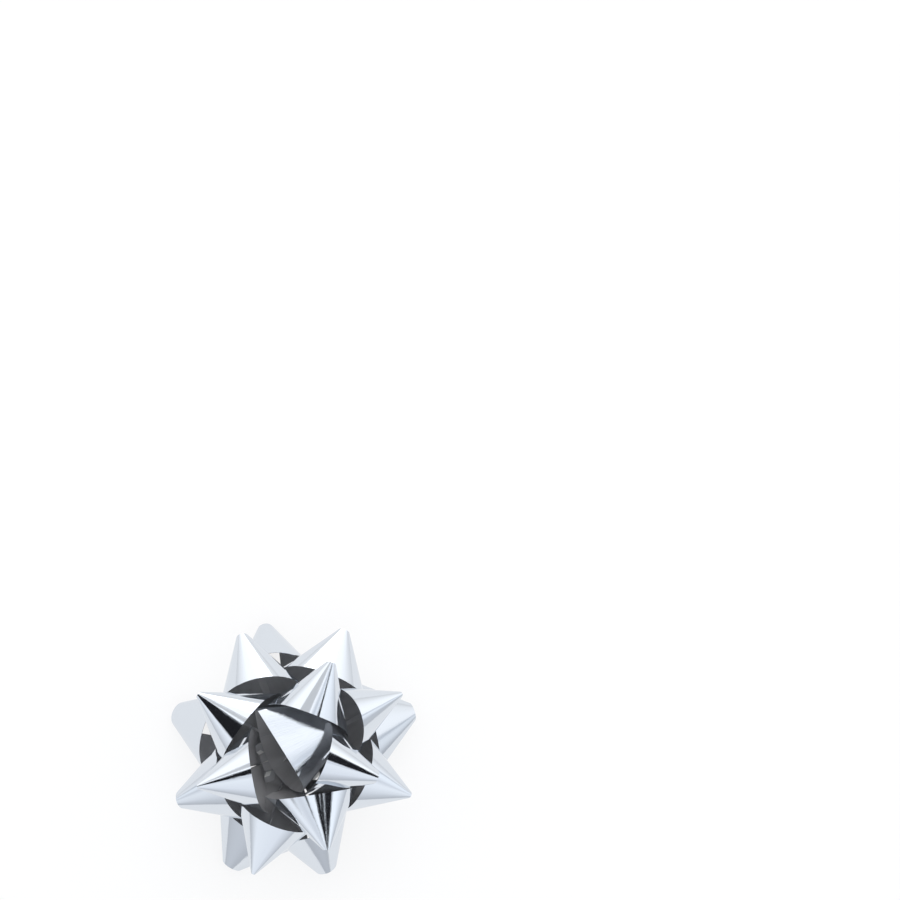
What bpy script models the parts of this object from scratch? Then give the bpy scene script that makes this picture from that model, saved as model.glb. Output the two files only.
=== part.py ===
"""Pre-made star gift bow: ribbon loops stapled to a card with a peel-off adhesive pad.

Metres. The bow stands on its pad: +Z is the bow's axis, and the origin is the middle of the
underside of the release liner. Azimuths are in degrees from +X towards +Y.

A loop is a straight ribbon wrapped on a cone. In the flat ribbon, x runs along it from the middle of
the loop and y across it from its outer edge. The cone's apex lies `point` beyond the outer edge, so a
small point makes a sharp loop and a large one a blunt loop. The ribbon's two ends meet in a seam on
the loop's underside, gather, and run side by side to the staple.
"""

import math

import bmesh
import bpy
from mathutils import Matrix, Vector

MM = 0.001

# Ribbon, 3/4 inch wide
RIBBON_WIDTH = 19.0 * MM
RIBBON_THICKNESS = 0.16 * MM
LAYER_GAP = 0.2 * MM  # between ribbon ends in the stack under the staple
SEAM_GAP = 0.3 * MM  # from the seam to each ribbon edge

# Loops, root to tip
LOOP_LENGTH = 42.0 * MM  # of half a loop's ribbon, from the fold to the middle
ROOT_RADIUS = 8.0 * MM  # where the line of the seam meets the stack
ROOT_HALF_WIDTH = 2.9 * MM  # of the gathered ribbon at the fold
ROOT_LENGTH = 3.0 * MM  # of its outer edge at the fold
FOLD_RADIUS = 11.5 * MM  # the ribbon folds up out of the stack here
FLATTEN_LENGTH = 12.0 * MM  # over which the cone flattens to the fold

# Rings, from the photograph: azimuth, lean of the seam, length beyond LOOP_LENGTH and point in mm, roll
# about the seam, height of the cone over its width, and how far in mm each side of the lip runs before
# it gathers
LOWER_RING = (
    (17.5, 2, 0, 4.3, 6.5, 0.43, 20, 20),
    (66.5, 18, 1.5, 2.6, -6, 0.59, 17.5, 20),
    (102, -2, 0, 4.5, 6.5, 0.8, 19.5, 10.5),
    (160.5, -2, -0.5, 6.9, 6.5, 0.7, 18, 12.5),
    (202, 20, 0, 4.9, 7.5, 0.85, 17, 11.5),
    (241, -2, 0, 5.1, 19, 0.45, 20, 13),
    (287, 6.5, -1, 6.4, -8.5, 0.78, 14, 15),
    (339.5, 25, 0, 1.5, 1, 0.79, 15, 18),
)
UPPER_RING = (
    (27, 31, 1, 1.5, 7, 1.11, 24, 17),
    (66, 51, 2, 2.3, -3.5, 0.9, 21.5, 23.5),
    (113, 25.5, 2, 2.9, 13.5, 0.84, 23.5, 22.5),
    (148, 43.5, 1.5, 1.4, 7, 0.76, 23.5, 24),
    (199, 52.5, 2.5, 1.0, 11, 0.92, 23.5, 24),
    (252, 34, 2, 1.0, 7, 0.84, 20, 13.5),
    (289.5, 48.5, 1.5, 1.6, 15.5, 0.68, 24, 24),
    (342.5, 51.5, 0.5, 3.7, 3, 1.23, 20.5, 23),
)

# Centre loop: a leaning egg-shaped band, its ends overlapping under the staple
CENTRE_AZIMUTH = math.radians(32)  # the way its right-hand mouth faces
CENTRE_FRONT_SPAN = 19.4 * MM
CENTRE_BACK_SPAN = 13.0 * MM
CENTRE_HEIGHT = 22.0 * MM
CENTRE_LEAN = 0.32  # its top's shift towards the right-hand mouth, over its height
CENTRE_SWAY = 5.0 * MM  # its top's shift to the back
CENTRE_SKEW = 4.4 * MM  # its top's right-hand edge lies this much further forward than its left
CENTRE_EGG = 0.1  # how much narrower it is low down
CENTRE_TAPER = 0.5  # how much narrower the right-hand mouth is than the left
CENTRE_DROP = 0.15  # how much lower it is
CENTRE_FLATNESS = 1.8  # 1 is a round top, more is a flatter one
CENTRE_FOOT_LEFT = 9.0 * MM  # half widths of the ribbon where it lies on the stack
CENTRE_FOOT_RIGHT = 7.6 * MM
CENTRE_GATHER_HEIGHT = 8.0 * MM
CENTRE_TURNS = (-0.3, 2.0 * math.pi + 0.75)  # from its outer end round to its inner end

# Base
LINER_TAB = 4.0 * MM
LINER_TAB_WIDTH = 10.0 * MM
LINER_THICKNESS = 0.15 * MM
PAD_SIZE = 18.0 * MM
PAD_THICKNESS = 1.6 * MM
CARD_RADIUS = 13.0 * MM
CARD_THICKNESS = 0.6 * MM
BASE_GAP = 0.1 * MM

# Staple
STAPLE_AZIMUTH = math.radians(45)
STAPLE_SPAN = 9.0 * MM  # between the middles of its legs
STAPLE_WIRE = 0.5 * MM
STAPLE_BEND = 0.6 * MM
STAPLE_CLINCH = 3.2 * MM  # bent in under the card
STAPLE_CLEARANCE = 0.3 * MM
STAPLE_MARGIN = 1.0 * MM  # of ribbon outside its legs
TAB_TURNS = (42, 70, 98, 126, 154)  # degrees round the ribbon's rounded end under the staple

LEG_HOLE_RADIUS = STAPLE_WIRE / 2 + STAPLE_CLEARANCE
TAB_RADIUS = STAPLE_SPAN / 2 + LEG_HOLE_RADIUS + STAPLE_MARGIN
LINER_SIZE = PAD_SIZE  # cut together
PAD_BOTTOM = LINER_THICKNESS + BASE_GAP
PAD_TOP = PAD_BOTTOM + PAD_THICKNESS
CARD_BOTTOM = PAD_TOP + BASE_GAP
CARD_TOP = CARD_BOTTOM + CARD_THICKNESS
STACK_BOTTOM = CARD_TOP + LAYER_GAP + RIBBON_THICKNESS / 2
LAYER_PITCH = RIBBON_THICKNESS + LAYER_GAP
CENTRE_BOTTOM = STACK_BOTTOM + (len(LOWER_RING) + len(UPPER_RING)) * LAYER_PITCH + LAYER_GAP
CROWN_HEIGHT = CENTRE_BOTTOM + 2.5 * LAYER_PITCH + STAPLE_CLEARANCE + STAPLE_WIRE / 2
CLINCH_HEIGHT = CARD_BOTTOM - BASE_GAP - STAPLE_WIRE / 2

GENERATORS = (8, 4, 2)  # facets of half a loop: lip, gathered side, root
ROWS = 3
CENTRE_FACETS = 44
CENTRE_ROWS = 4
SHARP_ANGLE = math.radians(50)


def cone_direction(theta, slope, squash):
    """A generator of the cone: X away from the tip, Y to the side, Z up; theta 0 is the top."""
    return Vector((1.0, slope * math.sin(theta), slope * squash * math.cos(theta))).normalized()


def unrolled(slope, squash, steps=90):
    """Angles in the flat ribbon of evenly turned generators, from the top to the seam."""
    angles = [0.0]
    last = cone_direction(0.0, slope, squash)
    for i in range(steps):
        new = cone_direction(math.pi * (i + 1) / steps, slope, squash)
        angles.append(angles[-1] + last.angle(new))
        last = new
    return angles


def closed_cone(seam_angle, squash):
    """The slope of the cone that the ribbon just closes round, and its unrolled angles."""
    low = 0.05
    high = 4.0
    for _ in range(30):
        slope = (low + high) / 2
        angles = unrolled(slope, squash)
        if angles[-1] < seam_angle:
            low = slope
        else:
            high = slope
    return slope, angles


def turned(angle, angles):
    """How far round the cone a generator at this angle in the flat ribbon is."""
    i = 0
    while i < len(angles) - 2 and angles[i + 1] < angle:
        i += 1
    share = (angle - angles[i]) / (angles[i + 1] - angles[i])
    return math.pi * (i + share) / (len(angles) - 1)


def loop_frame(azimuth, lean, half):
    """Apex direction and the cone's axes for a loop whose seam leaves the root at this lean."""
    out = Vector((math.cos(azimuth), math.sin(azimuth), 0.0))
    side = Vector((-math.sin(azimuth), math.cos(azimuth), 0.0))
    up = Vector((0.0, 0.0, 1.0))
    seam = out * math.cos(lean) + up * math.sin(lean)
    normal = up * math.cos(lean) - out * math.sin(lean)
    axis = normal * math.sin(half) - seam * math.cos(half)
    top = normal * math.cos(half) + seam * math.sin(half)
    return out, side, seam, axis, top


def smooth(value):
    value = min(max(value, 0.0), 1.0)
    return value * value * (3.0 - 2.0 * value)


def side_angles(length, point, lip):
    """Angles in the flat ribbon of the generators that are meshed on one side of a loop."""
    lip_angle = math.atan2(lip, point + RIBBON_WIDTH)
    root_angle = math.atan2(length, point + ROOT_HALF_WIDTH)
    end_angle = math.acos(point / (length - ROOT_LENGTH))
    bounds = (0.0, lip_angle, root_angle, end_angle)
    angles = []
    for start, end, count in zip(bounds, bounds[1:], GENERATORS):
        angles += [start + (end - start) * (i + 1) / count for i in range(count)]
    return angles


def reach(angle, length, point, lip):
    """The ribbon's far edge along a generator: its lip, its gathered side or its root."""
    gather = (RIBBON_WIDTH - ROOT_HALF_WIDTH) / (length - lip)
    edge = (point + RIBBON_WIDTH) / math.cos(angle)
    sloped = point + ROOT_HALF_WIDTH + length * gather
    sloped /= math.cos(angle) + gather * math.sin(angle)
    end = length / math.sin(angle) if angle > 0.5 else edge
    return min(edge, sloped, end)


def loop_sheet(azimuth, lean, length, point, roll, squash, lips, height):
    """Points and faces of the ribbon's middle surface."""
    seam_angle = math.atan2(length, point - SEAM_GAP)
    slope, angles_round = closed_cone(seam_angle, squash)
    out, side, seam, axis, top = loop_frame(azimuth, lean, math.atan(slope * squash))
    apex = out * ROOT_RADIUS + Vector((0.0, 0.0, height)) + seam * math.hypot(length, point)
    across = top.cross(axis)
    turn = Matrix.Rotation(roll, 3, -seam)
    flatten_from = length - FLATTEN_LENGTH

    def place(angle, sign, distance):
        direction = cone_direction(sign * turned(angle, angles_round), slope, squash)
        on_cone = axis * direction.x + across * direction.y + top * direction.z
        flat = -seam * math.cos(seam_angle - angle)
        flat += side * (-sign * math.sin(seam_angle - angle))
        share = smooth((distance * math.sin(angle) - flatten_from) / FLATTEN_LENGTH)
        rolled = (turn @ on_cone).lerp(flat, share)
        return apex + rolled * distance + out * ((FOLD_RADIUS - ROOT_RADIUS) * share * share)

    right = [(a, -1.0, lips[0]) for a in side_angles(length, point, lips[0])]
    left = [(a, 1.0, lips[1]) for a in side_angles(length, point, lips[1])]
    points = []
    columns = []
    for angle, sign, lip in right[::-1] + [(0.0, 1.0, lips[1])] + left:
        near = point / math.cos(angle)
        far = reach(angle, length, point, lip)
        column = []
        for row in range(ROWS + 1):
            column.append(len(points))
            points.append(place(angle, sign, near + (far - near) * row / ROWS))
        columns.append(column)
    faces = []
    for first, second in zip(columns, columns[1:]):
        for row in range(ROWS):
            faces.append((first[row], second[row], second[row + 1], first[row + 1]))

    # The ribbon's ends, flat in the stack
    last = GENERATORS[2]
    for start in (0, len(columns) - 1 - last):
        previous = [columns[start + i][ROWS] for i in range(last + 1)]
        laterals = [points[i].dot(side) for i in previous]
        widest = max(abs(lateral) for lateral in laterals)
        for turn in TAB_TURNS:
            radius = TAB_RADIUS * math.cos(math.radians(turn))
            half_width = TAB_RADIUS * math.sin(math.radians(turn)) - SEAM_GAP
            row = []
            for lateral in laterals:
                share = (abs(lateral) - SEAM_GAP) / (widest - SEAM_GAP)
                offset = math.copysign(SEAM_GAP + share * half_width, lateral)
                row.append(len(points))
                points.append(out * radius + side * offset + Vector((0, 0, height)))
            for i in range(last):
                faces.append((previous[i], previous[i + 1], row[i + 1], row[i]))
            previous = row
    return points, faces


def centre_sheet():
    """Points and faces of the centre loop's middle surface, wound one layer inwards each turn."""
    along = Vector((math.cos(CENTRE_AZIMUTH), math.sin(CENTRE_AZIMUTH), 0.0))
    across = Vector((-along.y, along.x, 0.0))
    start, end = CENTRE_TURNS
    points = []
    for i in range(CENTRE_FACETS + 1):
        turn = start + (end - start) * i / CENTRE_FACETS
        inwards = LAYER_PITCH * turn / (2.0 * math.pi)
        rise = CENTRE_HEIGHT * (1.0 - ((1.0 + math.cos(turn)) / 2) ** CENTRE_FLATNESS)
        span = CENTRE_BACK_SPAN if math.sin(turn) > 0.0 else CENTRE_FRONT_SPAN
        span *= math.sin(turn) * (1.0 - CENTRE_EGG * math.cos(turn))
        spread = min(rise / CENTRE_GATHER_HEIGHT, 1.0)
        for row in range(CENTRE_ROWS + 1):
            share = 2.0 * row / CENTRE_ROWS - 1.0
            foot = CENTRE_FOOT_LEFT if share < 0.0 else CENTRE_FOOT_RIGHT
            place = share * (foot + (RIBBON_WIDTH / 2 - foot) * spread)
            rightwards = place / RIBBON_WIDTH + 0.5
            point = along * (place + rise * CENTRE_LEAN)
            shift = (CENTRE_SWAY - CENTRE_SKEW * (rightwards - 0.5)) * rise / CENTRE_HEIGHT
            span_here = span * (1.0 - CENTRE_TAPER * rightwards)
            point += across * (span_here + shift - inwards * math.sin(turn))
            point.z = CENTRE_BOTTOM + rise * (1.0 - CENTRE_DROP * rightwards) + inwards * math.cos(turn)
            points.append(point)
    stride = CENTRE_ROWS + 1
    faces = []
    for i in range(CENTRE_FACETS):
        for row in range(CENTRE_ROWS):
            corner = i * stride + row
            faces.append((corner, corner + 1, corner + stride + 1, corner + stride))
    return points, faces


def linked(name, shape, material):
    """A new object from a bmesh, its faces turned outwards."""
    bmesh.ops.recalc_face_normals(shape, faces=shape.faces)
    mesh = bpy.data.meshes.new(name)
    shape.to_mesh(mesh)
    shape.free()
    mesh.shade_smooth()
    mesh.set_sharp_from_angle(angle=SHARP_ANGLE)
    made = bpy.data.objects.new(name, mesh)
    bpy.context.scene.collection.objects.link(made)
    if material:
        made.data.materials.append(material)
    return made


def thicken(name, points, faces, material):
    """A closed ribbon around a sheet."""
    shape = bmesh.new()
    vertices = [shape.verts.new(p) for p in points]
    for face in faces:
        shape.faces.new([vertices[i] for i in face])
    made = linked(name, shape, material)
    solid = made.modifiers.new("thickness", "SOLIDIFY")
    solid.thickness = RIBBON_THICKNESS
    solid.offset = 0.0
    return made


def slab(name, outline, bottom, top, material):
    """A flat plate from an outline in X and Y."""
    shape = bmesh.new()
    low = [shape.verts.new((x, y, bottom)) for x, y in outline]
    high = [shape.verts.new((x, y, top)) for x, y in outline]
    shape.faces.new(low)
    shape.faces.new(high)
    for i in range(len(outline)):
        j = (i + 1) % len(outline)
        shape.faces.new((low[i], low[j], high[j], high[i]))
    return linked(name, shape, material)


def circle(radius, count, middle=(0.0, 0.0)):
    turns = [2.0 * math.pi * i / count for i in range(count)]
    return [(middle[0] + radius * math.cos(t), middle[1] + radius * math.sin(t)) for t in turns]


def square(size):
    half = size / 2
    return [(-half, -half), (half, -half), (half, half), (-half, half)]


def staple_direction():
    return Vector((math.cos(STAPLE_AZIMUTH), math.sin(STAPLE_AZIMUTH), 0.0))


def staple(name, material):
    """Round wire: a crown in the centre loop and two legs clinched inwards under the card."""
    along = staple_direction()
    across = Vector((-along.y, along.x, 0.0))
    half = STAPLE_SPAN / 2
    diagonal = STAPLE_BEND * (1.0 - math.sqrt(0.5))
    half_path = [
        (half - STAPLE_CLINCH, CLINCH_HEIGHT),
        (half - STAPLE_BEND, CLINCH_HEIGHT),
        (half - diagonal, CLINCH_HEIGHT + diagonal),
        (half, CLINCH_HEIGHT + STAPLE_BEND),
        (half, CROWN_HEIGHT - STAPLE_BEND),
        (half - diagonal, CROWN_HEIGHT - diagonal),
        (half - STAPLE_BEND, CROWN_HEIGHT),
    ]
    path = [Vector(p) for p in half_path] + [Vector((-s, z)) for s, z in half_path[::-1]]
    shape = bmesh.new()
    rings = []
    for i, here in enumerate(path):
        tangent = (path[min(i + 1, len(path) - 1)] - path[max(i - 1, 0)]).normalized()
        normal = along * -tangent.y + Vector((0.0, 0.0, tangent.x))
        middle = along * here.x + Vector((0.0, 0.0, here.y))
        turns = [2.0 * math.pi * k / 8 for k in range(8)]
        ring = [middle + (normal * math.cos(t) + across * math.sin(t)) * STAPLE_WIRE / 2 for t in turns]
        rings.append([shape.verts.new(p) for p in ring])
    for first, second in zip(rings, rings[1:]):
        for k in range(8):
            m = (k + 1) % 8
            shape.faces.new((first[k], first[m], second[m], second[k]))
    shape.faces.new(rings[0])
    shape.faces.new(rings[-1])
    return linked(name, shape, material)


def cut(target, cutter):
    cutter.hide_render = True
    cutter.display_type = "WIRE"
    made = target.modifiers.new(cutter.name, "BOOLEAN")
    made.operation = "DIFFERENCE"
    made.solver = "EXACT"
    made.object = cutter


def leg_cutters():
    """The holes that the staple's legs pass through."""
    along = staple_direction()
    made = []
    for sign in (-1.0, 1.0):
        middle = along * (sign * STAPLE_SPAN / 2)
        outline = circle(LEG_HOLE_RADIUS, 12, middle.xy)
        name = "leg_hole_1" if sign < 0.0 else "leg_hole_2"
        made.append(slab(name, outline, PAD_TOP, CROWN_HEIGHT + STAPLE_WIRE, None))
    return made


def clinch_cutter():
    """The pocket in the pad that clears the clinched legs."""
    along = staple_direction()
    across = Vector((-along.y, along.x, 0.0))
    half_length = STAPLE_SPAN / 2 + LEG_HOLE_RADIUS
    half_width = LEG_HOLE_RADIUS
    outline = []
    for s, t in ((-1, -1), (1, -1), (1, 1), (-1, 1)):
        outline.append((along * (s * half_length) + across * (t * half_width)).xy)
    bottom = CLINCH_HEIGHT - STAPLE_WIRE / 2 - STAPLE_CLEARANCE
    return slab("clinch_pocket", outline, bottom, CARD_BOTTOM + BASE_GAP, None)


def liner(name, material):
    """The peel-off sheet under the pad, its origin on the edge that it peels back round."""
    half = LINER_SIZE / 2
    tab = LINER_TAB_WIDTH / 2
    outline = [
        (0.0, -half),
        (LINER_SIZE, -half),
        (LINER_SIZE, -tab),
        (LINER_SIZE + LINER_TAB * 0.7, -tab),
        (LINER_SIZE + LINER_TAB, -tab * 0.6),
        (LINER_SIZE + LINER_TAB, tab * 0.6),
        (LINER_SIZE + LINER_TAB * 0.7, tab),
        (LINER_SIZE, tab),
        (LINER_SIZE, half),
        (0.0, half),
    ]
    made = slab(name, outline, -LINER_THICKNESS, 0.0, material)
    made.location = (-half, 0.0, LINER_THICKNESS)
    return made


def lean_of(row):
    return row[1]


def principled(name, colour, metallic, roughness):
    made = bpy.data.materials.new(name)
    made.use_nodes = True
    shader = made.node_tree.nodes["Principled BSDF"]
    shader.inputs["Base Color"].default_value = (*colour, 1.0)
    shader.inputs["Metallic"].default_value = metallic
    shader.inputs["Roughness"].default_value = roughness
    return made


def build():
    for old in list(bpy.data.objects):
        bpy.data.objects.remove(old)
    ribbon = principled("metallised ribbon", (0.82, 0.84, 0.87), 1.0, 0.15)
    card = principled("base card", (0.75, 0.75, 0.73), 0.0, 0.8)
    foam = principled("adhesive foam", (0.85, 0.85, 0.82), 0.0, 0.9)
    paper = principled("release liner", (0.88, 0.86, 0.78), 0.0, 0.5)
    steel = principled("staple wire", (0.6, 0.6, 0.62), 1.0, 0.3)

    holes = leg_cutters()
    stapled = []
    layer = 0
    for ring, loops in (("lower", LOWER_RING), ("upper", UPPER_RING)):
        flattest_first = sorted(loops, key=lean_of)
        for place, row in enumerate(loops):
            azimuth, lean, longer, point, roll, squash, right, left = row
            points, faces = loop_sheet(
                math.radians(azimuth),
                math.radians(lean),
                LOOP_LENGTH + longer * MM,
                point * MM,
                math.radians(roll),
                squash,
                (right * MM, left * MM),
                STACK_BOTTOM + (layer + flattest_first.index(row)) * LAYER_PITCH,
            )
            stapled.append(thicken(f"{ring}_loop_{place + 1}", points, faces, ribbon))
        layer += len(loops)
    stapled.append(thicken("centre_loop", *centre_sheet(), ribbon))
    stapled.append(slab("base_card", circle(CARD_RADIUS, 48), CARD_BOTTOM, CARD_TOP, card))
    for piece in stapled:
        for hole in holes:
            cut(piece, hole)
    staple("staple", steel)
    pad = slab("foam_pad", square(PAD_SIZE), PAD_BOTTOM, PAD_TOP, foam)
    cut(pad, clinch_cutter())
    liner("release_liner", paper)


build()
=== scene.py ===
"""Looks of the star gift bow: mirror film loops with a dark inside, card, foam pad, liner and staple.

Metres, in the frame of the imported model. Each loop is a ribbon wrapped on a cone, as in the model: in
the flat ribbon, x runs along it from the middle of the loop and y across it from its outer edge, and
the cone's apex lies `point` beyond that edge.
"""

import math
import random

import bmesh
import bpy
from mathutils import Matrix, Vector


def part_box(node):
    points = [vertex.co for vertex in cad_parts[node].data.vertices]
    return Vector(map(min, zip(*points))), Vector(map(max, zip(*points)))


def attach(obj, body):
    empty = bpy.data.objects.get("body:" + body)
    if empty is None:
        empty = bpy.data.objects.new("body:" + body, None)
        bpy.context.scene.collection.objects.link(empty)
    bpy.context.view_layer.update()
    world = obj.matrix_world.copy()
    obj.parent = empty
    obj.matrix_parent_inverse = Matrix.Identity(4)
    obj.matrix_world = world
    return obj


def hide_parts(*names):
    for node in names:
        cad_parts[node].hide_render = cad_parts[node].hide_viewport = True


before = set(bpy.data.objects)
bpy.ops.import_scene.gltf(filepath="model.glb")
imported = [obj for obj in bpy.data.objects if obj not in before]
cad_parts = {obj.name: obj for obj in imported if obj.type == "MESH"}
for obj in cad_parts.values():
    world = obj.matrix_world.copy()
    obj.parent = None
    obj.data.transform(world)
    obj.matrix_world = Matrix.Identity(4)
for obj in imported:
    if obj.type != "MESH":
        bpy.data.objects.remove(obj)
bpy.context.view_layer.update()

MM = 0.001

# Camera: the photograph's, straight above the bow, which sits low and left in its square frame
PHOTO_SIZE = 900
FOCAL_PIXELS = 1915
BOW_PIXEL = (292, 752)
BOW_HEIGHT = 12.6 * MM  # the point on the bow's axis that falls on that pixel
METRES_PER_PIXEL = 0.358 * MM
SENSOR = 36.0
CAMERA_NEAR = 0.01

# Ribbon
RIBBON_WIDTH = 19.0 * MM
FILM_THICKNESS = 0.12 * MM
LAYER_PITCH = 0.36 * MM
STACK_GAP = 0.28 * MM  # from the card to the middle of the lowest ribbon
SEAM_GAP = 0.1 * MM
ROOT_RADIUS = 8.0 * MM
ROOT_HALF_WIDTH = 2.9 * MM
ROOT_LENGTH = 3.0 * MM
TAB_RADIUS = 6.05 * MM
TAB_TURNS = (42, 70, 98, 126, 154)  # degrees round the ribbon's rounded end under the staple
TAB_STEP = 0.2  # of the ribbon's width, from one of these turns to the next, for the streaks
FOLD_RADIUS = 11.5 * MM
FLATTEN_LENGTH = 12.0 * MM

# Rings: azimuth, lean of the seam, length and point in mm, roll about the seam, height of the cone over
# its width, and how far in mm each side of the lip runs before it gathers
LOWER_RING = (
    (17.5, 2, 42, 4.3, 6.5, 0.43, 20, 20),
    (66.5, 18, 43.5, 2.6, -6, 0.59, 17.5, 20),
    (102, -2, 42, 4.5, 6.5, 0.8, 19.5, 10.5),
    (160.5, -2, 41.5, 6.9, 6.5, 0.7, 18, 12.5),
    (202, 20, 42, 4.9, 7.5, 0.85, 17, 11.5),
    (241, -2, 42, 5.1, 19, 0.45, 20, 13),
    (287, 6.5, 41, 6.4, -8.5, 0.78, 14, 15),
    (339.5, 25, 42, 1.5, 1, 0.79, 15, 18),
)
UPPER_RING = (
    (27, 31, 43, 1.5, 7, 1.11, 24, 17),
    (66, 51, 44, 2.3, -3.5, 0.9, 21.5, 23.5),
    (113, 25.5, 44, 2.9, 13.5, 0.84, 23.5, 22.5),
    (148, 43.5, 43.5, 1.4, 7, 0.76, 23.5, 24),
    (199, 52.5, 44.5, 1.0, 11, 0.92, 23.5, 24),
    (252, 34, 44, 1.0, 7, 0.84, 20, 13.5),
    (289.5, 48.5, 43.5, 1.6, 15.5, 0.68, 24, 24),
    (342.5, 51.5, 42.5, 3.7, 3, 1.23, 20.5, 23),
)
STACK_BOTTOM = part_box("base_card")[1].z + STACK_GAP

# Centre loop: a flatness above 1 squares its shoulders
CENTRE_AZIMUTH = math.radians(32)
CENTRE_FRONT_SPAN = 19.4 * MM
CENTRE_BACK_SPAN = 13.0 * MM
CENTRE_HEIGHT = 22.0 * MM
CENTRE_LEAN = 0.32
CENTRE_SWAY = 5.0 * MM
CENTRE_SKEW = 4.4 * MM
CENTRE_EGG = 0.1
CENTRE_TAPER = 0.5
CENTRE_DROP = 0.15
CENTRE_FRONT_FLATNESS = 2.2
CENTRE_BACK_FLATNESS = 3.4
CENTRE_FOOT_LEFT = 9.0 * MM
CENTRE_FOOT_RIGHT = 7.6 * MM
CENTRE_GATHER_HEIGHT = 8.0 * MM
CENTRE_TURNS = (-0.3, 2.0 * math.pi + 0.75)
CENTRE_GAP = 0.2 * MM  # between the stack and the loop, besides the pitch
CENTRE_BOTTOM = STACK_BOTTOM + (len(LOWER_RING) + len(UPPER_RING)) * LAYER_PITCH + CENTRE_GAP

# Base and staple
CARD_EDGE = 0.12 * MM
CARD_EDGE_STEPS = 3
FOAM_MESH = 0.2 * MM
FOAM_CELL = 0.6 * MM
FOAM_DEPTH = 0.15 * MM
LINER_ROWS = 8
LINER_CURL = 0.2 * MM  # how far the end of the tab stands up
STAPLE_AZIMUTH = math.radians(45)
STAPLE_SPAN = 9.0 * MM  # between the middles of its legs
STAPLE_WIRE = 0.5 * MM
STAPLE_BEND = 0.6 * MM
STAPLE_CLINCH = 3.2 * MM  # bent in under the card
STAPLE_STEPS = 6
STAPLE_ROUNDNESS = 5
UPWARDS = 0.5  # faces whose normal's z is above this lie on top

# Waves in the film: their count round a cone, how much each tilts the film in degrees, and how far from
# the point it fades
WAVE_SEED = 7
WAVE_SHARES = (0.5, 1.0)  # of that tilt, drawn for each loop
WAVES = (
    (5, 2.0, 40.0 * MM),
    (9, 1.5, 40.0 * MM),
    (14, 2.5, 12.0 * MM),
    (19, 5.0, 6.0 * MM),
    (25, 6.0, 4.0 * MM),
)

# Materials
SILVER = (0.7, 0.74, 0.79)
SILVER_ROUGHNESS = (0.02, 0.07)
SILVER_BUMP = 0.08
SILVER_RELIEF = 0.1 * MM
CHARCOAL = (0.42, 0.42, 0.43)
CHARCOAL_STREAKS = ((0.34, 0.34, 0.35), (0.5, 0.5, 0.51))
CHARCOAL_ROUGHNESS = 0.4
GRAIN_ENDS = (0.3, 0.7)  # where a grain's noise is all dark and all light
GRAIN_BUMP = 0.5

# Studio
TENT = (  # share of the way from the bow's bottom to its top, in the photograph's view, and colour
    (0.0, (0.68, 0.7, 0.74)),
    (0.325, (0.77, 0.79, 0.82)),
    (0.41, (0.6, 0.62, 0.66)),
    (0.49, (0.84, 0.87, 0.91)),
    (0.535, (0.84, 0.87, 0.91)),
    (0.56, (0.5, 0.53, 0.58)),
    (0.59, (0.95, 0.96, 0.98)),
    (1.0, (1.0, 1.0, 1.0)),
)
TENT_SHADES = (0.85, 1.42)  # how bright the tent is at the horizon and at its roof
TENT_ROOF = 0.5  # where its roof starts, as a share of its height
FLAGS = (  # middle, turn in degrees and half sizes, on a dome of radius 1, and how dark
    ((-0.2, 0.02, 0.98), 106, (0.13, 0.08), 1.0),
    ((-0.5, -0.11, 0.86), 50, (0.33, 0.08), 1.0),
    ((0.475, 0.2, 0.86), 71, (0.32, 0.06), 1.0),
    ((0.28, 0.015, 0.96), 8, (0.1, 0.045), 1.0),
    ((0.62, 0.055, 0.78), 2, (0.12, 0.035), 1.0),
    ((-0.2, 0.305, 0.93), 153, (0.22, 0.08), 0.45),
)
FLAG_COLOUR = (0.012, 0.012, 0.014)
FLAG_EDGE = (0.9, 1.1)  # where a flag's soft edge starts and ends, in half sizes
SOFTBOX_PLACE = (0.1, 0.85, 0.6)
SOFTBOX_SIZE = 0.7
SOFTBOX_BRIGHTNESS = 1.4
LAMP_AIM = (0.0, 0.0, 0.02)
FLOOR_SIZE = 3.0
FLOOR_GAP = 0.05 * MM
FLOOR_COLOUR = (0.9, 0.9, 0.91)
FLOOR_ROUGHNESS = 0.6
FLOOR_WHITE = 0.8  # share of the floor that is plain white to the eye

# Meshes
GENERATORS = (64, 24, 6)  # columns of half a loop: lip, gathered side, root
ROWS = 14
CENTRE_FACETS = 200
CENTRE_ROWS = 20
CONE_STEPS = 90
CONE_SLOPES = (0.05, 4.0)  # between these lies the slope of every loop's cone
CONE_HALVINGS = 30
ROOT_FROM = 0.5  # angle in the flat ribbon beyond which its end can be the far edge
SHARP_ANGLE = math.radians(50)
BEVEL_ANGLE = math.radians(40)
FLAT_ANGLE = math.radians(1)
SAME_POINT = 0.001 * MM


def cone_direction(theta, slope, squash, ripple=0.0):
    """A generator of the cone: X away from the tip, Y to the side, Z up; theta 0 is the top."""
    wide = slope * (1.0 + ripple)
    return Vector((1.0, wide * math.sin(theta), wide * squash * math.cos(theta))).normalized()


def drawn_waves(dice):
    """Count, phase, height and fading length of each wave of one loop."""
    drawn = []
    for count, tilt, fade in WAVES:
        height = math.radians(tilt) / count * dice.uniform(*WAVE_SHARES)
        drawn.append((count, dice.uniform(0.0, 2.0 * math.pi), height, fade))
    return drawn


def ripple(theta, distance, waves):
    """How much further out the film stands there, as a share; nothing at the seam."""
    total = 0.0
    for count, phase, height, fade in waves:
        total += height * math.sin(count * theta + phase) * math.exp(-distance / fade)
    return total * math.cos(theta / 2) ** 2


def unrolled(slope, squash):
    """Angles in the flat ribbon of evenly turned generators, from the top to the seam."""
    angles = [0.0]
    last = cone_direction(0.0, slope, squash)
    for i in range(CONE_STEPS):
        new = cone_direction(math.pi * (i + 1) / CONE_STEPS, slope, squash)
        angles.append(angles[-1] + last.angle(new))
        last = new
    return angles


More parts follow.
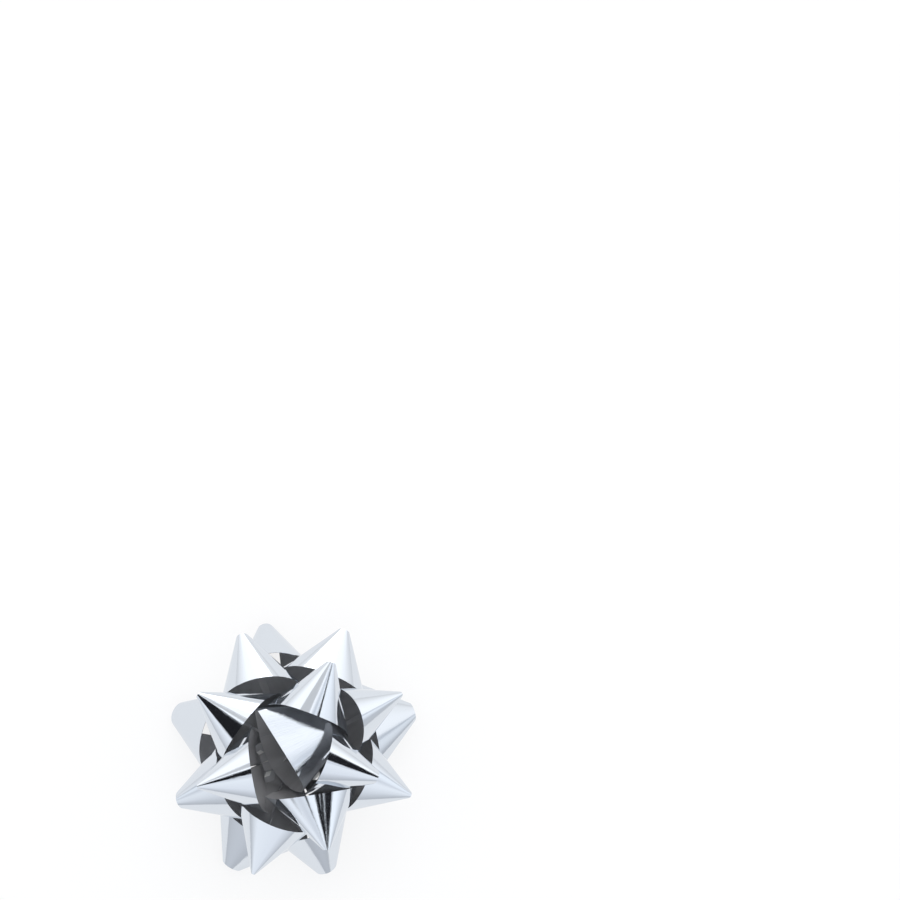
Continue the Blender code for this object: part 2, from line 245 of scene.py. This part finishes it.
def closed_cone(seam_angle, squash):
    """The slope of the cone that the ribbon just closes round, and its unrolled angles."""
    low, high = CONE_SLOPES
    for _ in range(CONE_HALVINGS):
        slope = (low + high) / 2
        angles = unrolled(slope, squash)
        if angles[-1] < seam_angle:
            low = slope
        else:
            high = slope
    return slope, angles


def turned(angle, angles):
    """How far round the cone a generator at this angle in the flat ribbon is."""
    i = 0
    while i < len(angles) - 2 and angles[i + 1] < angle:
        i += 1
    share = (angle - angles[i]) / (angles[i + 1] - angles[i])
    return math.pi * (i + share) / (len(angles) - 1)


def loop_frame(azimuth, lean, half):
    """Apex direction and the cone's axes for a loop whose seam leaves the root at this lean."""
    out = Vector((math.cos(azimuth), math.sin(azimuth), 0.0))
    side = Vector((-math.sin(azimuth), math.cos(azimuth), 0.0))
    up = Vector((0.0, 0.0, 1.0))
    seam = out * math.cos(lean) + up * math.sin(lean)
    normal = up * math.cos(lean) - out * math.sin(lean)
    axis = normal * math.sin(half) - seam * math.cos(half)
    top = normal * math.cos(half) + seam * math.sin(half)
    return out, side, seam, axis, top


def smooth(value):
    value = min(max(value, 0.0), 1.0)
    return value * value * (3.0 - 2.0 * value)


def side_angles(length, point, lip):
    """Angles in the flat ribbon of the generators that are meshed on one side of a loop."""
    lip_angle = math.atan2(lip, point + RIBBON_WIDTH)
    root_angle = math.atan2(length, point + ROOT_HALF_WIDTH)
    end_angle = math.acos(point / (length - ROOT_LENGTH))
    bounds = (0.0, lip_angle, root_angle, end_angle)
    angles = []
    for start, end, count in zip(bounds, bounds[1:], GENERATORS):
        angles += [start + (end - start) * (i + 1) / count for i in range(count)]
    return angles


def reach(angle, length, point, lip):
    """The ribbon's far edge along a generator: its lip, its gathered side or its root."""
    gather = (RIBBON_WIDTH - ROOT_HALF_WIDTH) / (length - lip)
    edge = (point + RIBBON_WIDTH) / math.cos(angle)
    sloped = point + ROOT_HALF_WIDTH + length * gather
    sloped /= math.cos(angle) + gather * math.sin(angle)
    end = length / math.sin(angle) if angle > ROOT_FROM else edge
    return min(edge, sloped, end)


def loop_sheet(azimuth, lean, length, point, roll, squash, lips, height, waves):
    """Points, ribbon coordinates and faces of the film's middle surface, faces outwards."""
    seam_angle = math.atan2(length, point - SEAM_GAP)
    slope, angles_round = closed_cone(seam_angle, squash)
    out, side, seam, axis, top = loop_frame(azimuth, lean, math.atan(slope * squash))
    apex = out * ROOT_RADIUS + Vector((0.0, 0.0, height)) + seam * math.hypot(length, point)
    across = top.cross(axis)
    turn = Matrix.Rotation(roll, 3, -seam)
    flatten_from = length - FLATTEN_LENGTH

    def place(angle, sign, distance):
        theta = sign * turned(angle, angles_round)
        direction = cone_direction(theta, slope, squash, ripple(theta, distance, waves))
        on_cone = axis * direction.x + across * direction.y + top * direction.z
        flat = -seam * math.cos(seam_angle - angle)
        flat += side * (-sign * math.sin(seam_angle - angle))
        share = smooth((distance * math.sin(angle) - flatten_from) / FLATTEN_LENGTH)
        rolled = (turn @ on_cone).lerp(flat, share)
        return apex + rolled * distance + out * ((FOLD_RADIUS - ROOT_RADIUS) * share * share)

    right = [(a, -1.0, lips[0]) for a in side_angles(length, point, lips[0])]
    left = [(a, 1.0, lips[1]) for a in side_angles(length, point, lips[1])]
    points = []
    ribbon = []
    columns = []
    for angle, sign, lip in right[::-1] + [(0.0, 1.0, lips[1])] + left:
        near = point / math.cos(angle)
        far = reach(angle, length, point, lip)
        column = []
        for row in range(ROWS + 1):
            distance = near + (far - near) * row / ROWS
            column.append(len(points))
            points.append(place(angle, sign, distance))
            ribbon.append((sign * angle, distance / RIBBON_WIDTH))
        columns.append(column)
    faces = []
    for first, second in zip(columns, columns[1:]):
        for row in range(ROWS):
            faces.append((first[row], first[row + 1], second[row + 1], second[row]))

    # The ribbon's ends, flat in the stack
    last = GENERATORS[2]
    for start in (0, len(columns) - 1 - last):
        previous = [columns[start + i][ROWS] for i in range(last + 1)]
        laterals = [points[i].dot(side) for i in previous]
        widest = max(abs(lateral) for lateral in laterals)
        for turn_round in TAB_TURNS:
            radius = TAB_RADIUS * math.cos(math.radians(turn_round))
            half_width = TAB_RADIUS * math.sin(math.radians(turn_round)) - SEAM_GAP
            row = []
            for lateral, above in zip(laterals, previous):
                share = (abs(lateral) - SEAM_GAP) / (widest - SEAM_GAP)
                offset = math.copysign(SEAM_GAP + share * half_width, lateral)
                row.append(len(points))
                points.append(out * radius + side * offset + Vector((0, 0, height)))
                ribbon.append((ribbon[above][0], ribbon[above][1] + TAB_STEP))
            for i in range(last):
                faces.append((previous[i], row[i], row[i + 1], previous[i + 1]))
            previous = row
    return points, ribbon, faces


def centre_sheet():
    """Points, ribbon coordinates and faces of the centre loop, wound one layer inwards each turn."""
    along = Vector((math.cos(CENTRE_AZIMUTH), math.sin(CENTRE_AZIMUTH), 0.0))
    across = Vector((-along.y, along.x, 0.0))
    start, end = CENTRE_TURNS
    points = []
    ribbon = []
    for i in range(CENTRE_FACETS + 1):
        turn = start + (end - start) * i / CENTRE_FACETS
        inwards = LAYER_PITCH * turn / (2.0 * math.pi)
        if math.sin(turn) > 0.0:
            span = CENTRE_BACK_SPAN
            flatness = CENTRE_BACK_FLATNESS
        else:
            span = CENTRE_FRONT_SPAN
            flatness = CENTRE_FRONT_FLATNESS
        rise = CENTRE_HEIGHT * (1.0 - ((1.0 + math.cos(turn)) / 2) ** flatness)
        span *= math.sin(turn) * (1.0 - CENTRE_EGG * math.cos(turn))
        spread = min(rise / CENTRE_GATHER_HEIGHT, 1.0)
        for row in range(CENTRE_ROWS + 1):
            share = 2.0 * row / CENTRE_ROWS - 1.0
            foot = CENTRE_FOOT_LEFT if share < 0.0 else CENTRE_FOOT_RIGHT
            place = share * (foot + (RIBBON_WIDTH / 2 - foot) * spread)
            rightwards = place / RIBBON_WIDTH + 0.5
            point = along * (place + rise * CENTRE_LEAN)
            shift = (CENTRE_SWAY - CENTRE_SKEW * (rightwards - 0.5)) * rise / CENTRE_HEIGHT
            span_here = span * (1.0 - CENTRE_TAPER * rightwards)
            point += across * (span_here + shift - inwards * math.sin(turn))
            point.z = CENTRE_BOTTOM + rise * (1.0 - CENTRE_DROP * rightwards) + inwards * math.cos(turn)
            points.append(point)
            ribbon.append((turn, place / RIBBON_WIDTH))
    stride = CENTRE_ROWS + 1
    faces = []
    for i in range(CENTRE_FACETS):
        for row in range(CENTRE_ROWS):
            corner = i * stride + row
            faces.append((corner, corner + stride, corner + stride + 1, corner + 1))
    return points, ribbon, faces


def film(name, points, ribbon, faces, materials):
    """A closed film around a sheet, and the sheet's area; materials are its outside and its inside."""
    shape = bmesh.new()
    vertices = [shape.verts.new(p) for p in points]
    uv = shape.loops.layers.uv.new("ribbon")
    for face in faces:
        made = shape.faces.new([vertices[i] for i in face])
        for corner, i in zip(made.loops, face):
            corner[uv].uv = ribbon[i]
    mesh = bpy.data.meshes.new(name)
    area = sum(face.calc_area() for face in shape.faces)
    shape.to_mesh(mesh)
    shape.free()
    for material in materials:
        mesh.materials.append(material)
    draft = bpy.data.objects.new(name + "_sheet", mesh)
    bpy.context.scene.collection.objects.link(draft)
    solid = draft.modifiers.new("thickness", "SOLIDIFY")
    solid.thickness = FILM_THICKNESS
    solid.offset = 0.0
    solid.material_offset = 1
    return applied(draft, name), area


def applied(draft, name):
    """A smooth new object with the draft's modifiers worked into its mesh."""
    graph = bpy.context.evaluated_depsgraph_get()
    mesh = bpy.data.meshes.new_from_object(draft.evaluated_get(graph))
    bpy.data.objects.remove(draft)
    mesh.shade_smooth()
    mesh.set_sharp_from_angle(angle=SHARP_ANGLE)
    made = bpy.data.objects.new(name, mesh)
    bpy.context.scene.collection.objects.link(made)
    return made


def node(tree, kind, inputs=(), **settings):
    """A new shader node; inputs are pairs of a socket and a value or another node's output."""
    made = tree.nodes.new(kind)
    for name, value in settings.items():
        setattr(made, name, value)
    for socket, value in inputs:
        if isinstance(value, bpy.types.NodeSocket):
            tree.links.new(value, made.inputs[socket])
        else:
            made.inputs[socket].default_value = value
    return made


def principled(name, colour, metallic, roughness):
    """A material, its node tree and its shader."""
    made = bpy.data.materials.new(name)
    made.use_nodes = True
    shader = made.node_tree.nodes["Principled BSDF"]
    shader.inputs["Base Color"].default_value = (*colour, 1.0)
    shader.inputs["Metallic"].default_value = metallic
    shader.inputs["Roughness"].default_value = roughness
    return made, made.node_tree, shader


def streaks(tree, across, along, detail):
    """Noise drawn out along the cone's generators, from the ribbon coordinates."""
    place = node(tree, "ShaderNodeUVMap", uv_map="ribbon")
    inputs = [("Vector", place.outputs[0]), ("Scale", (across, along, 1.0))]
    scaled = node(tree, "ShaderNodeMapping", inputs)
    inputs = [("Vector", scaled.outputs[0]), ("Scale", 1.0), ("Detail", detail)]
    return node(tree, "ShaderNodeTexNoise", inputs).outputs["Fac"]


def silver_film():
    """Mirror-bright metallised film, drawn into faint streaks."""
    smoothest, roughest = SILVER_ROUGHNESS
    made, tree, shader = principled("silver film", SILVER, metallic=1.0, roughness=roughest)
    lines = streaks(tree, across=30.0, along=1.2, detail=4.0)
    inputs = [("Value", lines), ("To Min", smoothest), ("To Max", roughest)]
    tree.links.new(node(tree, "ShaderNodeMapRange", inputs).outputs[0], shader.inputs["Roughness"])
    fine = streaks(tree, across=90.0, along=2.0, detail=3.0)
    inputs = [("Strength", SILVER_BUMP), ("Distance", SILVER_RELIEF), ("Height", fine)]
    bump = node(tree, "ShaderNodeBump", inputs)
    tree.links.new(bump.outputs[0], shader.inputs["Normal"])
    return made


def dark_film():
    """The film's satin charcoal inside."""
    made, tree, shader = principled("dark film", CHARCOAL, metallic=0.0, roughness=CHARCOAL_ROUGHNESS)
    lines = streaks(tree, across=6.0, along=1.5, detail=3.0)
    tone = node(tree, "ShaderNodeValToRGB", [("Fac", lines)])
    for element, colour in zip(tone.color_ramp.elements, CHARCOAL_STREAKS):
        element.color = (*colour, 1.0)
    tree.links.new(tone.outputs[0], shader.inputs["Base Color"])
    return made


def grain(tree, scale, detail, stretch=(1.0, 1.0, 1.0)):
    """Noise in metres: scale is its features in a metre."""
    place = node(tree, "ShaderNodeTexCoord").outputs["Object"]
    scaled = node(tree, "ShaderNodeMapping", [("Vector", place), ("Scale", stretch)])
    inputs = [("Vector", scaled.outputs[0]), ("Scale", scale), ("Detail", detail)]
    return node(tree, "ShaderNodeTexNoise", inputs).outputs["Fac"]


def surface(name, dark, light, metallic, roughness, pattern, depth):
    """A material whose colour, roughness and relief follow a grain.

    Roughness is a range, and the pattern is the grain's scale, detail and stretch.
    """
    made, tree, shader = principled(name, light, metallic, roughness[1])
    grains = grain(tree, *pattern)
    tone = node(tree, "ShaderNodeValToRGB", [("Fac", grains)])
    for element, position, colour in zip(tone.color_ramp.elements, GRAIN_ENDS, (dark, light)):
        element.position = position
        element.color = (*colour, 1.0)
    tree.links.new(tone.outputs[0], shader.inputs["Base Color"])
    inputs = [("Value", grains), ("To Min", roughness[0]), ("To Max", roughness[1])]
    tree.links.new(node(tree, "ShaderNodeMapRange", inputs).outputs[0], shader.inputs["Roughness"])
    bump = node(tree, "ShaderNodeBump", [("Strength", GRAIN_BUMP), ("Distance", depth), ("Height", grains)])
    tree.links.new(bump.outputs[0], shader.inputs["Normal"])
    return made


def lean_of(row):
    return row[1]


def loop(name, sheet, materials):
    """One film loop, standing for its node."""
    made, area = film(f"{name}_film", *sheet, materials)
    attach(made, "bow")
    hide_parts(name)


def loops(materials):
    """All the film loops, each standing for its node."""
    layer = 0
    dice = random.Random(WAVE_SEED)
    for ring, rows in (("lower", LOWER_RING), ("upper", UPPER_RING)):
        flattest_first = sorted(rows, key=lean_of)
        for place, row in enumerate(rows):
            azimuth, lean, length, point, roll, squash, right, left = row
            sheet = loop_sheet(
                math.radians(azimuth),
                math.radians(lean),
                length * MM,
                point * MM,
                math.radians(roll),
                squash,
                (right * MM, left * MM),
                STACK_BOTTOM + (layer + flattest_first.index(row)) * LAYER_PITCH,
                drawn_waves(dice),
            )
            loop(f"{ring}_loop_{place + 1}", sheet, materials)
        layer += len(rows)
    loop("centre_loop", centre_sheet(), materials)


def copied(name, piece, material):
    """A draft with the shape of a node, its triangles joined into plain faces."""
    shape = bmesh.new()
    shape.from_mesh(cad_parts[name].data)
    bmesh.ops.remove_doubles(shape, verts=shape.verts, dist=SAME_POINT)
    bmesh.ops.dissolve_limit(shape, angle_limit=FLAT_ANGLE, verts=shape.verts, edges=shape.edges)
    mesh = bpy.data.meshes.new(piece)
    shape.to_mesh(mesh)
    shape.free()
    mesh.materials.append(material)
    made = bpy.data.objects.new(piece, mesh)
    bpy.context.scene.collection.objects.link(made)
    return made


def card():
    """The base card, its cut edges pressed round."""
    fibres = surface(
        "card",
        dark=(0.72, 0.7, 0.66),
        light=(0.86, 0.85, 0.82),
        metallic=0.0,
        roughness=(0.7, 0.9),
        pattern=(1500, 5.0, (1, 4, 1)),
        depth=0.04 * MM,
    )
    draft = copied("base_card", "card_draft", fibres)
    edges = draft.modifiers.new("edges", "BEVEL")
    edges.width = CARD_EDGE
    edges.segments = CARD_EDGE_STEPS
    edges.limit_method = "ANGLE"
    edges.angle_limit = BEVEL_ANGLE
    made = applied(draft, "card_board")
    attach(made, "bow")
    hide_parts("base_card")


def pad():
    """The foam pad, with open cells all over it."""
    foam = surface(
        "foam",
        dark=(0.78, 0.78, 0.75),
        light=(0.93, 0.93, 0.91),
        metallic=0.0,
        roughness=(0.6, 0.9),
        pattern=(2500, 3.0),
        depth=0.1 * MM,
    )
    draft = copied("foam_pad", "pad_draft", foam)
    fine = draft.modifiers.new("fine", "REMESH")
    fine.mode = "VOXEL"
    fine.voxel_size = FOAM_MESH
    texture = bpy.data.textures.new("cells", "VORONOI")
    texture.noise_scale = FOAM_CELL
    cells = draft.modifiers.new("cells", "DISPLACE")
    cells.texture = texture
    cells.texture_coords = "LOCAL"
    cells.strength = -FOAM_DEPTH
    cells.mid_level = 0.0
    made = applied(draft, "pad_foam")
    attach(made, "bow")
    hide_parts("foam_pad")


def liner():
    """The release liner, its finger tab curled up."""
    paper = surface(
        "liner",
        dark=(0.8, 0.83, 0.85),
        light=(0.9, 0.92, 0.93),
        metallic=0.0,
        roughness=(0.3, 0.45),
        pattern=(1200, 4.0, (1, 3, 1)),
        depth=0.02 * MM,
    )
    draft = copied("release_liner", "liner_draft", paper)
    low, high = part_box("release_liner")
    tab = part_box("foam_pad")[1].x
    shape = bmesh.new()
    shape.from_mesh(draft.data)
    for i in range(LINER_ROWS):
        place = Vector((tab + (high.x - tab) * i / LINER_ROWS, 0.0, 0.0))
        everything = shape.verts[:] + shape.edges[:] + shape.faces[:]
        bmesh.ops.bisect_plane(shape, geom=everything, plane_co=place, plane_no=Vector((1.0, 0.0, 0.0)))
    for vertex in shape.verts:
        share = max((vertex.co.x - tab) / (high.x - tab), 0.0)
        vertex.co.z += LINER_CURL * share * share
    area = sum(face.calc_area() for face in shape.faces if face.normal.z > UPWARDS)
    shape.to_mesh(draft.data)
    shape.free()
    made = applied(draft, "liner_paper")
    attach(made, "release_liner")
    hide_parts("release_liner")


def staple():
    """Round wire: its crown in the centre loop, its legs clinched inwards under the card."""
    low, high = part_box("staple")
    bottom = low.z + STAPLE_WIRE / 2
    top = high.z - STAPLE_WIRE / 2
    half = STAPLE_SPAN / 2
    path = [(half - STAPLE_CLINCH, bottom)]
    for height, start in ((bottom + STAPLE_BEND, -90), (top - STAPLE_BEND, 0)):
        for step in range(STAPLE_STEPS + 1):
            turn = math.radians(start + 90 * step / STAPLE_STEPS)
            place = half - STAPLE_BEND + STAPLE_BEND * math.cos(turn)
            path.append((place, height + STAPLE_BEND * math.sin(turn)))
    path += [(-place, height) for place, height in path[::-1]]
    wire = bpy.data.curves.new("wire", "CURVE")
    wire.dimensions = "3D"
    wire.bevel_depth = STAPLE_WIRE / 2
    wire.bevel_resolution = STAPLE_ROUNDNESS
    wire.use_fill_caps = True
    spline = wire.splines.new("POLY")
    spline.points.add(len(path) - 1)
    for point, (place, height) in zip(spline.points, path):
        point.co = (place * math.cos(STAPLE_AZIMUTH), place * math.sin(STAPLE_AZIMUTH), height, 1.0)
    steel = surface(
        "steel",
        dark=(0.6, 0.6, 0.62),
        light=(0.75, 0.75, 0.77),
        metallic=1.0,
        roughness=(0.2, 0.4),
        pattern=(4000, 3.0),
        depth=0.01 * MM,
    )
    wire.materials.append(steel)
    draft = bpy.data.objects.new("wire", wire)
    bpy.context.scene.collection.objects.link(draft)
    made = applied(draft, "staple_wire")
    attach(made, "bow")
    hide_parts("staple")


def camera():
    """The photograph's camera: on the bow's axis, turned until the bow falls on its pixel."""
    middle = PHOTO_SIZE / 2
    ray = Vector(((BOW_PIXEL[0] - middle) / FOCAL_PIXELS, (middle - BOW_PIXEL[1]) / FOCAL_PIXELS, -1.0))
    z_axis = -ray.normalized()
    up = Vector((0.0, 1.0, 0.0))
    y_axis = (up - z_axis * up.dot(z_axis)).normalized()
    x_axis = y_axis.cross(z_axis)
    data = bpy.data.cameras.new("camera")
    data.sensor_width = SENSOR
    data.lens = SENSOR * FOCAL_PIXELS / PHOTO_SIZE
    data.clip_start = CAMERA_NEAR
    made = bpy.data.objects.new("camera", data)
    bpy.context.scene.collection.objects.link(made)
    distance = METRES_PER_PIXEL * FOCAL_PIXELS * ray.length
    place = Matrix.Translation((0.0, 0.0, BOW_HEIGHT + distance))
    made.matrix_world = place @ Matrix((x_axis, y_axis, z_axis)).to_4x4()
    bpy.context.scene.camera = made


def dark_flag(tree, direction, middle, turn, half_sizes, share):
    """How much of an oval dark flag lies that way: the given share inside it, 0 outside."""
    inputs = [("Vector", direction), ("Location", middle), ("Rotation", (0.0, 0.0, turn))]
    inputs.append(("Scale", (*half_sizes, 1.0)))
    local = node(tree, "ShaderNodeMapping", inputs, vector_type="TEXTURE")
    away = node(tree, "ShaderNodeVectorMath", [(0, local.outputs[0])], operation="LENGTH")
    inner, outer = FLAG_EDGE
    inputs = [("Value", away.outputs["Value"]), ("From Min", outer), ("From Max", inner)]
    inputs.append(("To Max", share))
    return node(tree, "ShaderNodeMapRange", inputs, interpolation_type="SMOOTHSTEP").outputs[0]


def studio():
    """A pale tent: white behind the bow's top, light grey below, with dark flags round the camera."""
    made = bpy.data.worlds.new("studio")
    made.use_nodes = True
    bpy.context.scene.world = made
    tree = made.node_tree
    direction = node(tree, "ShaderNodeTexCoord").outputs["Generated"]
    parts = node(tree, "ShaderNodeSeparateXYZ", [(0, direction)])
    inputs = [("Value", parts.outputs["Y"]), ("From Min", -1.0), ("From Max", 1.0)]
    height = node(tree, "ShaderNodeMapRange", inputs)
    tent = node(tree, "ShaderNodeValToRGB", [("Fac", height.outputs[0])])
    ramp = tent.color_ramp
    ramp.elements[0].position = TENT[0][0]
    ramp.elements[0].color = (*TENT[0][1], 1.0)
    ramp.elements[1].position = TENT[-1][0]
    ramp.elements[1].color = (*TENT[-1][1], 1.0)
    for position, colour in TENT[1:-1]:
        ramp.elements.new(position).color = (*colour, 1.0)
    colour = tent.outputs[0]
    for middle, turn, half_sizes, share in FLAGS:
        inside = dark_flag(tree, direction, middle, math.radians(turn), half_sizes, share)
        inputs = [(0, inside), (6, colour), (7, (*FLAG_COLOUR, 1.0))]  # sockets: share and two colours
        colour = node(tree, "ShaderNodeMix", inputs, data_type="RGBA").outputs[2]
    inputs = [("Value", parts.outputs["Z"]), ("From Max", TENT_ROOF)]
    inputs += [("To Min", TENT_SHADES[0]), ("To Max", TENT_SHADES[1])]
    shade = node(tree, "ShaderNodeMapRange", inputs)
    tree.links.new(colour, tree.nodes["Background"].inputs["Color"])
    tree.links.new(shade.outputs[0], tree.nodes["Background"].inputs["Strength"])


def lamp(name, place, size, brightness):
    """A square soft box that faces the bow; brightness is its radiance."""
    data = bpy.data.lights.new(name, "AREA")
    data.size = size
    data.energy = brightness * math.pi * size * size
    made = bpy.data.objects.new(name, data)
    bpy.context.scene.collection.objects.link(made)
    made.location = place
    towards = Vector(LAMP_AIM) - made.location
    made.rotation_euler = towards.to_track_quat("-Z", "Y").to_euler()


def floor():
    """A white floor that keeps the bow's shadow and can't be seen from below."""
    shape = bmesh.new()
    bmesh.ops.create_grid(shape, size=FLOOR_SIZE)
    mesh = bpy.data.meshes.new("floor")
    shape.to_mesh(mesh)
    shape.free()
    made = bpy.data.objects.new("floor", mesh)
    bpy.context.scene.collection.objects.link(made)
    made.location.z = -FLOOR_GAP
    material, tree, shader = principled("white floor", FLOOR_COLOUR, 0.0, FLOOR_ROUGHNESS)
    path = node(tree, "ShaderNodeLightPath").outputs
    seen = node(tree, "ShaderNodeMath", [(0, path["Is Camera Ray"]), (1, path["Is Glossy Ray"])])
    seen = node(tree, "ShaderNodeMath", [(0, seen.outputs[0]), (1, path["Is Transmission Ray"])])
    share = node(tree, "ShaderNodeMath", [(0, seen.outputs[0]), (1, FLOOR_WHITE)], operation="MULTIPLY")
    white = node(tree, "ShaderNodeEmission")
    lit = node(tree, "ShaderNodeMixShader", [(0, share.outputs[0]), (1, shader.outputs[0])])
    tree.links.new(white.outputs[0], lit.inputs[2])
    clear = node(tree, "ShaderNodeBsdfTransparent")
    back = node(tree, "ShaderNodeNewGeometry").outputs["Backfacing"]
    both = node(tree, "ShaderNodeMixShader", [(0, back), (1, lit.outputs[0]), (2, clear.outputs[0])])
    tree.links.new(both.outputs[0], tree.nodes["Material Output"].inputs["Surface"])
    mesh.materials.append(material)


loops((silver_film(), dark_film()))
card()
pad()
liner()
staple()
camera()
studio()
lamp("top softbox", SOFTBOX_PLACE, SOFTBOX_SIZE, SOFTBOX_BRIGHTNESS)
floor()

bpy.context.scene.view_settings.view_transform = "Standard"
